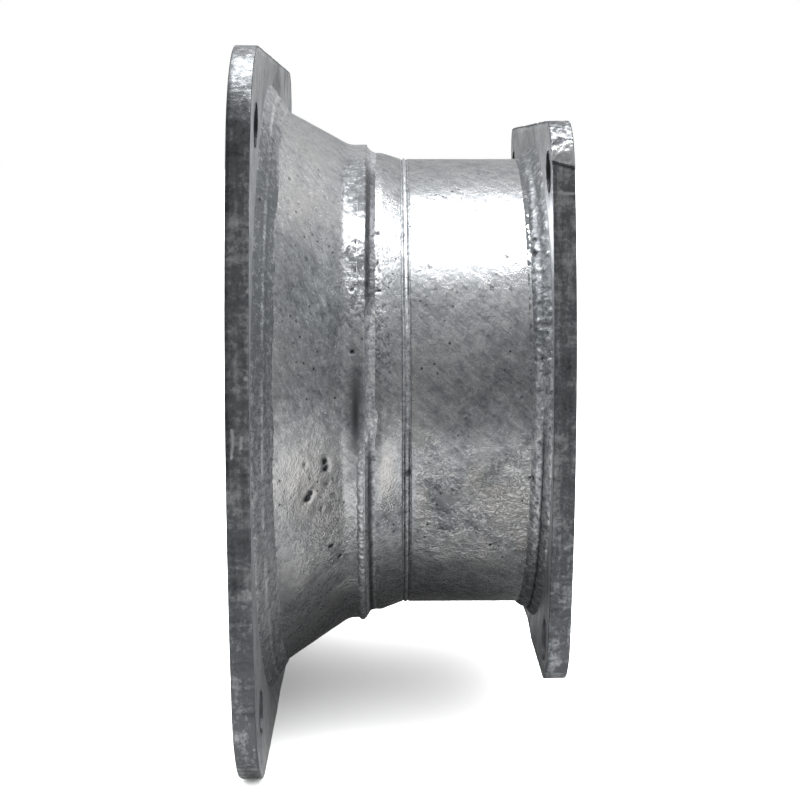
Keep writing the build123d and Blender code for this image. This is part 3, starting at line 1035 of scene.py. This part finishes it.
def shell_material():
    """Hot-dip zinc on rolled plate: speckled and mottled, with faint slanting streaks and warm patches."""
    material, tree, shader, at = start_material("zinc_on_shell")
    wound = new_node(tree, "Attribute", (("attribute_name", "wound"),)).outputs["Vector"]
    mark, pit, warm, dull = (mask(tree, key) for key in ("tone", "pit", "warm", "dull"))
    crumple = mask(tree, "crumple")
    mottle = grains(tree, at, 5.0, 5.0, 0.68, 0.2)
    streak = grains(tree, wound, 2.6, 4.0, 0.65)
    fine = grains(tree, at, 1.3, 3.0, 0.7)
    grain = added(tree, (mottle, 0.42), (streak, 0.28), (fine, 0.30))
    folds = folded(tree, at)
    tone = added(tree, (remap(tree, grain, 0.25, 0.75, 0.15, 0.85), 1.0), (mark, 0.16))
    tone = added(tree, (tone, 1.0), (calc(tree, "MULTIPLY", crumple, folds), 0.26), (crumple, -0.05))
    speckle = calc(tree, "MULTIPLY", dull, calc(tree, "SUBTRACT", fine, 0.5))
    tone = added(tree, (tone, 1.0), (speckle, 3.0))
    colour = zinc_colour(tree, tone)
    broad = remap(tree, grains(tree, at, 34.0, 3.0), 0.52, 0.66, 0.0, 0.2)
    colour = blend_colour(tree, added(tree, (broad, 1.0), (warm, 0.45)), colour, WARM_ZINC)
    rare = remap(tree, grains(tree, at, 20.0, 2.0), 0.45, 0.58, 0.0, 1.0)
    speck = calc(tree, "MULTIPLY", specks(tree, at, 4.5, 0.17), rare)
    dark = calc(tree, "MAXIMUM", speck, remap(tree, pit, 0.16, 0.42, 0.0, 1.0))
    colour = blend_colour(tree, dark, colour, BARE_SPOT_AND_SHADE)
    # Painted shade: where the dull mask is high, the colour goes towards dark grey, dimming the lamp's
    # highlight on the collar and short cone; on the pipe's thick patch this is a slight darkening.
    colour = blend_colour(tree, calc(tree, "MULTIPLY", dull, 0.8), colour, PAINTED_SHADE_AND_DULL_ZINC)
    roughness = added(tree, (remap(tree, tone, 0.30, 0.70, 0.32, 0.23), 1.0), (dull, 0.30))
    normal = bump(tree, calc(tree, "MULTIPLY", crumple, folds), 0.5, 0.6)
    normal = bump(tree, mottle, 0.35, 0.6, normal)
    normal = bump(tree, streak, 0.2, 0.4, normal)
    normal = bump(tree, added(tree, (fine, 1.0), (speckle, 4.0)), 0.35, 0.3, normal)
    finish_material(tree, shader, colour, roughness, normal)
    return material


def plate_material():
    """Zinc on thick plate: duller on the flame-cut edges, and lighter towards the bottom of the edges."""
    material, tree, shader, at = start_material("zinc_on_plate")
    cut, low, mark = mask(tree, "cut"), mask(tree, "low"), mask(tree, "tone")
    mottle = grains(tree, at, 7.0, 5.0, 0.68, 0.3)
    fine = grains(tree, at, 1.4, 3.0, 0.65)
    tall = new_node(tree, "VectorMath", (("operation", "MULTIPLY"),), i0=at, i1=(1.0, 1.0, 0.1)).outputs[0]
    drips = grains(tree, tall, 2.6, 3.0)
    grain = added(tree, (mottle, 0.40), (fine, 0.30), (drips, 0.30))
    tone = added(tree, (remap(tree, grain, 0.25, 0.75, 0.2, 0.8), 1.0), (mark, 0.17))
    edge = zinc_colour(tree, tone, CUT_DARK, CUT_MID, CUT_LIGHT)
    # Towards the bottom the edges take the faces' zinc colours, a little darker, so they are lighter there
    # than the cut edge above.
    low_rim_colour = zinc_colour(tree, calc(tree, "SUBTRACT", tone, 0.18), LOW_RIM_DARK)
    rim = blend_colour(tree, low, edge, low_rim_colour)
    colour = blend_colour(tree, cut, zinc_colour(tree, tone), rim)
    roughness = remap(tree, tone, 0.3, 0.7, 0.48, 0.30)
    normal = bump(tree, mottle, 0.5, 0.8)
    normal = bump(tree, fine, 0.5, 0.35, normal)
    finish_material(tree, shader, colour, roughness, normal)
    return material


def weld_material():
    """Zinc on a weld bead: rough, with painted highlight on its crests, and painted shade in its grooves that
    goes towards bare zinc, as its pits and dark marks do.
    """
    material, tree, shader, at = start_material("zinc_on_weld")
    mark, painted_shade_and_marks = mask(tree, "tone"), mask(tree, "painted_shade_and_marks")
    mottle = grains(tree, at, 3.0, 4.0, 0.7, 0.3)
    fine = grains(tree, at, 1.1, 3.0, 0.7)
    grain = added(tree, (mottle, 0.5), (fine, 0.5))
    tone = added(tree, (remap(tree, grain, 0.25, 0.75, 0.08, 0.92), 1.0), (mark, 0.17))
    colour = zinc_colour(tree, tone)
    # Painted shade in the grooves and on the lap's upper slope, and the real pits and dark marks, go towards
    # bare zinc.
    colour = blend_colour(tree, remap(tree, painted_shade_and_marks, 0.25, 0.9, 0.0, 0.85), colour, BARE_SPOT_AND_SHADE)
    roughness = remap(tree, tone, 0.3, 0.75, 0.52, 0.32)
    normal = bump(tree, mottle, 0.6, 0.5)
    normal = bump(tree, fine, 0.6, 0.3, normal)
    finish_material(tree, shader, colour, roughness, normal)
    return material


MATERIALS = {
    "galvanised_shell": shell_material(),
    "galvanised_plate": plate_material(),
    "galvanised_weld": weld_material(),
}


# ---------------- studio


def make_floor():
    """Pale floor under the large flange. In the metal's reflections it is painted darker than it looks to the
    eye, as painted shade, with a painted pool of light in front of the object."""
    size = 30.0
    mesh = bpy.data.meshes.new("floor")
    corners = [(-size, -size, 0), (size, -size, 0), (size, size, 0), (-size, size, 0)]
    mesh.from_pydata(corners, [], [(0, 1, 2, 3)])
    floor = bpy.data.objects.new("floor", mesh)
    floor.location = (0, 0, cad_low.z)
    bpy.context.scene.collection.objects.link(floor)
    material = bpy.data.materials.new("floor_paper")
    material.use_nodes = True
    tree = material.node_tree
    tree.nodes.remove(tree.nodes["Principled BSDF"])
    pale = new_node(tree, "BsdfDiffuse", Color=(0.86, 0.86, 0.86, 1.0)).outputs[0]
    along = new_node(tree, "SeparateXYZ", Vector=new_node(tree, "TexCoord").outputs["Object"]).outputs["Y"]
    # Painted pool of light: a lighter strip of floor in front of the object, seen only in the metal's
    # reflections.
    rise = remap(tree, along, -0.42, -0.22, 0.0, 1.0)
    fall = remap(tree, along, 0.02, -0.12, 0.0, 1.0)
    pool = calc(tree, "MULTIPLY", rise, fall)
    colour = blend_colour(tree, pool, (0.07, 0.07, 0.07), (0.22, 0.22, 0.22))
    dim = new_node(tree, "BsdfDiffuse", Color=colour).outputs[0]
    path = new_node(tree, "LightPath").outputs["Is Glossy Ray"]
    seen = new_node(tree, "MixShader", i0=path, i1=pale, i2=dim).outputs[0]
    tree.links.new(seen, tree.nodes["Material Output"].inputs["Surface"])
    mesh.materials.append(material)


def make_sky():
    """Pale studio surroundings: to the metal, dimmer in front near the horizon than at the sides."""
    world = bpy.data.worlds.new("studio")
    bpy.context.scene.world = world
    world.use_nodes = True
    tree = world.node_tree
    way = new_node(tree, "SeparateXYZ", Vector=new_node(tree, "TexCoord").outputs["Generated"])
    up = remap(tree, way.outputs["Z"], 0.1, 0.75, 0.0, 1.0)
    front = remap(tree, way.outputs["Y"], -0.45, -0.9, 0.0, 1.0)
    horizon = remap(tree, front, 0.0, 1.0, 0.42, 0.19)
    metal = calc(tree, "ADD", horizon, calc(tree, "MULTIPLY", up, 0.25))
    path = new_node(tree, "LightPath")
    paper = remap(tree, path.outputs["Is Camera Ray"], 0.0, 1.0, 4.0, 1.0)
    light = remap(tree, path.outputs["Is Glossy Ray"], 0.0, 1.0, paper, metal)
    seen = new_node(tree, "Background", Color=(1, 1, 1, 1), Strength=light).outputs[0]
    tree.links.new(seen, tree.nodes["World Output"].inputs["Surface"])


def make_softbox():
    """One wide soft light overhead, a little in front of the object."""
    lamp = bpy.data.lights.new("softbox", "AREA")
    lamp.shape = "RECTANGLE"
    lamp.size, lamp.size_y = 1.5, 0.5
    lamp.energy = 25.0
    light = bpy.data.objects.new("softbox", lamp)
    light.location = (0.07, -0.09, 0.95)
    bpy.context.scene.collection.objects.link(light)


def make_camera():
    """The camera looks nearly square at the side of the object, from a little above its axis."""
    data = bpy.data.cameras.new("camera")
    data.sensor_width = 36.0
    data.lens = 80.2
    data.shift_y = -0.05
    data.clip_start = 0.05
    camera = bpy.data.objects.new("camera", data)
    camera.location = (0.0646, -0.8598, 0.1119)
    camera.rotation_euler = (math.pi / 2 - 0.115, 0.0, -0.008)
    bpy.context.scene.collection.objects.link(camera)
    bpy.context.scene.camera = camera


make_camera()
make_floor()
make_sky()
make_softbox()
bpy.context.scene.view_settings.view_transform = "Standard"

make_large_cone()
make_short_cone()
make_pipe()
make_lap_weld()
make_large_back_weld()
make_small_back_weld()
make_neck_weld()
make_seal_weld("large_flange_face_bead", "large_flange_face_weld", 0.0, LARGE_R, SETBACK, SEAL_MARGIN)
make_seal_weld("small_flange_face_bead", "small_flange_face_weld", PIPE_Y, SMALL_R,
               pipe_high[0], small_high[0] - SEAL_MARGIN)
make_seam_weld()
square_flange("large_flange_plate", "large_flange", LARGE_FLANGE)
square_flange("small_flange_plate", "small_flange", SMALL_FLANGE)
